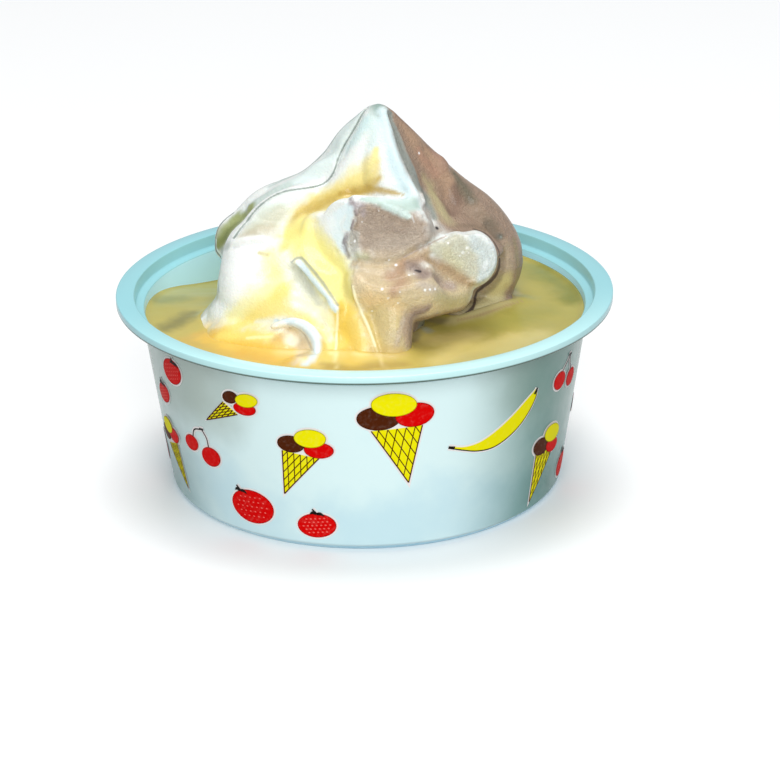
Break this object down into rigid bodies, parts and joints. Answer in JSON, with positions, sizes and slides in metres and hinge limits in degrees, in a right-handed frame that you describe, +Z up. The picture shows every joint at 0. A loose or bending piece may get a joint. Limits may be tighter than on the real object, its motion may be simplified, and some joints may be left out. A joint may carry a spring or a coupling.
{
  "type": "gelato cup",
  "caption": "Plastic tub of soft ice cream, a vanilla and chocolate twist that has folded over, with egg sauce round it.",
  "frame": {"origin": "middle of the tub's base", "axes": "+Z up along the tub's axis, -Y towards the shown front"},
  "size_m": [0.11, 0.11, 0.0862],
  "materials": {
    "tub_plastic": "thin glossy moulded plastic, pale cyan, printed outside with cones, cherries, berries and bananas",
    "soft_ice": "moist soft ice cream, vanilla in front and on the left, chocolate on the right, run over with sauce",
    "egg_sauce": "thick glossy egg sauce"
  },
  "bodies": {
    "root": {"tub": "tub_plastic", "soft_ice_twist": "soft_ice", "egg_sauce": "egg_sauce"}
  },
  "joints": []
}
